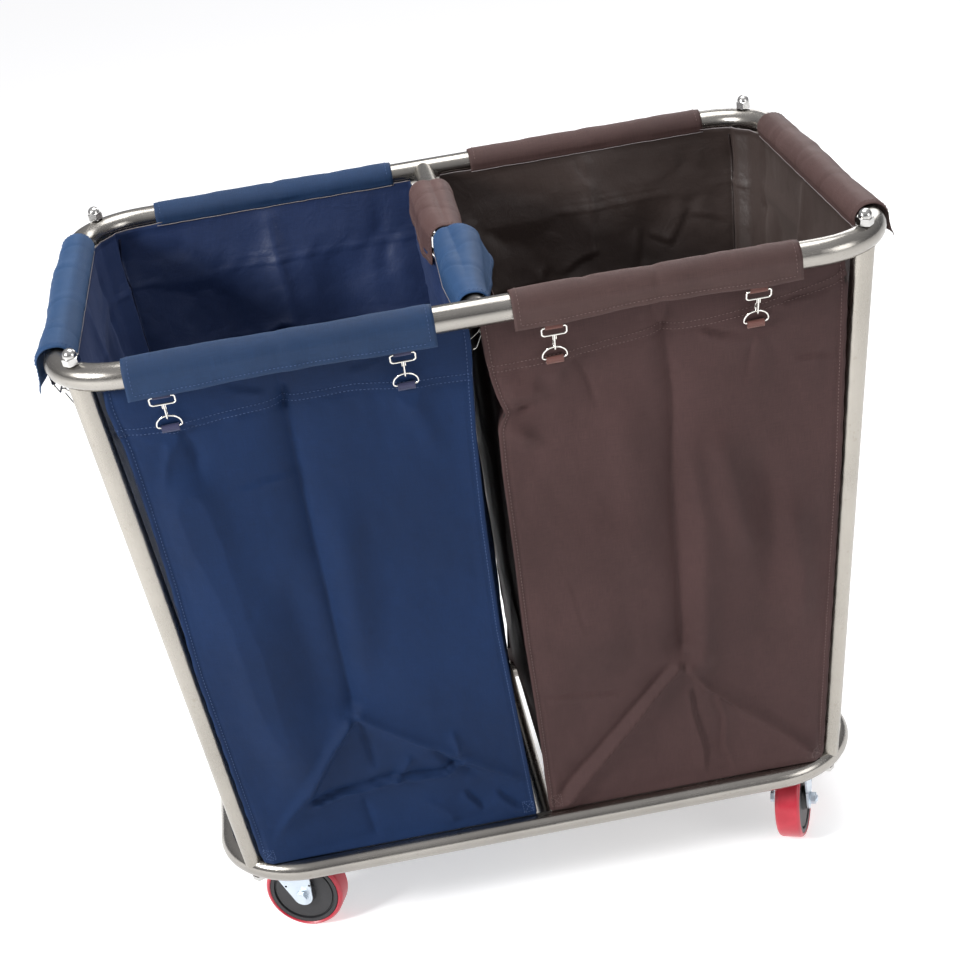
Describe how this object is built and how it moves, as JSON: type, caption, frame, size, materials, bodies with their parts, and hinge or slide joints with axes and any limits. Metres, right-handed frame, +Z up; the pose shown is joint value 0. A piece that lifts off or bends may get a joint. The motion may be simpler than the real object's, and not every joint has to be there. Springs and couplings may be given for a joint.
{
  "type": "linen trolley",
  "caption": "Two-compartment linen trolley: tubular steel frame with tapered fabric bags hooked over the top rails, on swivel casters.",
  "frame": {"origin": "on the floor, under the middle of the trolley", "axes": "+Z up, X along the length with the blue bag at -X, front at -Y"},
  "size_m": [0.9236, 0.6036, 0.8502],
  "materials": {
    "stainless_tube": "brushed stainless steel",
    "steel_fasteners": "machined stainless steel",
    "zinc_plate": "bright blue-white zinc plating",
    "nickel_wire": "nickel-plated wire",
    "wheel_plastic": "moulded black nylon",
    "red_tread": "smooth red polyurethane",
    "blue_cloth": "woven nylon, coated inside",
    "brown_cloth": "woven nylon, coated inside",
    "blue_webbing": "woven webbing",
    "brown_webbing": "woven webbing"
  },
  "bodies": {
    "frame": {"blue_bag": "blue_cloth", "blue_flaps": "blue_cloth", "blue_snap_hooks": "nickel_wire", "blue_webbing_tabs": "blue_webbing", "bottom_crossbar": "stainless_tube", "bottom_ring": "stainless_tube", "brown_bag": "brown_cloth", "brown_flaps": "brown_cloth", "brown_snap_hooks": "nickel_wire", "brown_webbing_tabs": "brown_webbing", "cap_nuts": "steel_fasteners", "caster_kingpins": "zinc_plate", "caster_mount_plates": "stainless_tube", "caster_top_plates": "zinc_plate", "d_rings": "nickel_wire", "foot_bolts": "steel_fasteners", "leg_bottom_inserts": "steel_fasteners", "leg_front_left": "stainless_tube", "leg_front_right": "stainless_tube", "leg_rear_left": "stainless_tube", "leg_rear_right": "stainless_tube", "leg_top_inserts": "steel_fasteners", "plate_bolts": "steel_fasteners", "plate_nuts": "steel_fasteners", "swivel_balls": "zinc_plate", "top_crossbar": "stainless_tube", "top_ring": "stainless_tube", "top_studs": "steel_fasteners"},
    "swivel_front_left": {"fork_front_left": "zinc_plate", "axle_bolt_front_left": "zinc_plate", "axle_nut_front_left": "zinc_plate", "wheel_bush_front_left": "zinc_plate"},
    "wheel_front_left": {"wheel_core_front_left": "wheel_plastic", "wheel_tread_front_left": "red_tread"},
    "swivel_front_right": {"fork_front_right": "zinc_plate", "axle_bolt_front_right": "zinc_plate", "axle_nut_front_right": "zinc_plate", "wheel_bush_front_right": "zinc_plate"},
    "wheel_front_right": {"wheel_core_front_right": "wheel_plastic", "wheel_tread_front_right": "red_tread"},
    "swivel_rear_left": {"fork_rear_left": "zinc_plate", "axle_bolt_rear_left": "zinc_plate", "axle_nut_rear_left": "zinc_plate", "wheel_bush_rear_left": "zinc_plate"},
    "wheel_rear_left": {"wheel_core_rear_left": "wheel_plastic", "wheel_tread_rear_left": "red_tread"},
    "swivel_rear_right": {"fork_rear_right": "zinc_plate", "axle_bolt_rear_right": "zinc_plate", "axle_nut_rear_right": "zinc_plate", "wheel_bush_rear_right": "zinc_plate"},
    "wheel_rear_right": {"wheel_core_rear_right": "wheel_plastic", "wheel_tread_rear_right": "red_tread"},
    "gates_blue_front": {"blue_front_gates": "nickel_wire"},
    "gates_blue_rear": {"blue_rear_gates": "nickel_wire"},
    "gates_blue_end": {"blue_end_gates": "nickel_wire"},
    "gates_blue_divider": {"blue_divider_gates": "nickel_wire"},
    "gates_brown_front": {"brown_front_gates": "nickel_wire"},
    "gates_brown_rear": {"brown_rear_gates": "nickel_wire"},
    "gates_brown_end": {"brown_end_gates": "nickel_wire"},
    "gates_brown_divider": {"brown_divider_gates": "nickel_wire"}
  },
  "joints": [
    {"name": "caster_swivel_front_left", "type": "hinge", "parent": "frame", "child": "swivel_front_left", "pos_m": [-0.325, -0.127, 0.1135], "axis": [0, 0, 1], "continuous": true},
    {"name": "wheel_spin_front_left", "type": "hinge", "parent": "swivel_front_left", "child": "wheel_front_left", "pos_m": [-0.30809, -0.13316, 0.05], "axis": [0.342, 0.9397, 0], "continuous": true},
    {"name": "caster_swivel_front_right", "type": "hinge", "parent": "frame", "child": "swivel_front_right", "pos_m": [0.325, -0.127, 0.1135], "axis": [0, 0, 1], "continuous": true},
    {"name": "wheel_spin_front_right", "type": "hinge", "parent": "swivel_front_right", "child": "wheel_front_right", "pos_m": [0.31768, -0.14344, 0.05], "axis": [0.9135, -0.4067, 0], "continuous": true},
    {"name": "caster_swivel_rear_left", "type": "hinge", "parent": "frame", "child": "swivel_rear_left", "pos_m": [-0.325, 0.127, 0.1135], "axis": [0, 0, 1], "continuous": true},
    {"name": "wheel_spin_rear_left", "type": "hinge", "parent": "swivel_rear_left", "child": "wheel_rear_left", "pos_m": [-0.30753, 0.13135, 0.05], "axis": [-0.2419, 0.9703, 0], "continuous": true},
    {"name": "caster_swivel_rear_right", "type": "hinge", "parent": "frame", "child": "swivel_rear_right", "pos_m": [0.325, 0.127, 0.1135], "axis": [0, 0, 1], "continuous": true},
    {"name": "wheel_spin_rear_right", "type": "hinge", "parent": "swivel_rear_right", "child": "wheel_rear_right", "pos_m": [0.33974, 0.11668, 0.05], "axis": [0.5736, 0.8192, 0], "continuous": true},
    {"name": "gate_blue_front", "type": "hinge", "parent": "frame", "child": "gates_blue_front", "pos_m": [-0.338, -0.28665, 0.77925], "axis": [-1, 0, 0], "range_deg": [0, 28]},
    {"name": "gate_blue_rear", "type": "hinge", "parent": "frame", "child": "gates_blue_rear", "pos_m": [-0.325, 0.28665, 0.77925], "axis": [1, 0, 0], "range_deg": [0, 28]},
    {"name": "gate_blue_end", "type": "hinge", "parent": "frame", "child": "gates_blue_end", "pos_m": [-0.44665, -0.19, 0.77925], "axis": [0, 1, 0], "range_deg": [0, 28]},
    {"name": "gate_blue_divider", "type": "hinge", "parent": "frame", "child": "gates_blue_divider", "pos_m": [0.00475, -0.215, 0.77225], "axis": [0, -1, 0], "range_deg": [0, 28]},
    {"name": "gate_brown_front", "type": "hinge", "parent": "frame", "child": "gates_brown_front", "pos_m": [0.076, -0.28665, 0.77925], "axis": [-1, 0, 0], "range_deg": [0, 28]},
    {"name": "gate_brown_rear", "type": "hinge", "parent": "frame", "child": "gates_brown_rear", "pos_m": [0.088, 0.28665, 0.77925], "axis": [1, 0, 0], "range_deg": [0, 28]},
    {"name": "gate_brown_end", "type": "hinge", "parent": "frame", "child": "gates_brown_end", "pos_m": [0.44665, -0.186, 0.77925], "axis": [0, -1, 0], "range_deg": [0, 28]},
    {"name": "gate_brown_divider", "type": "hinge", "parent": "frame", "child": "gates_brown_divider", "pos_m": [-0.00475, 0.03, 0.77225], "axis": [0, 1, 0], "range_deg": [0, 28]}
  ]
}
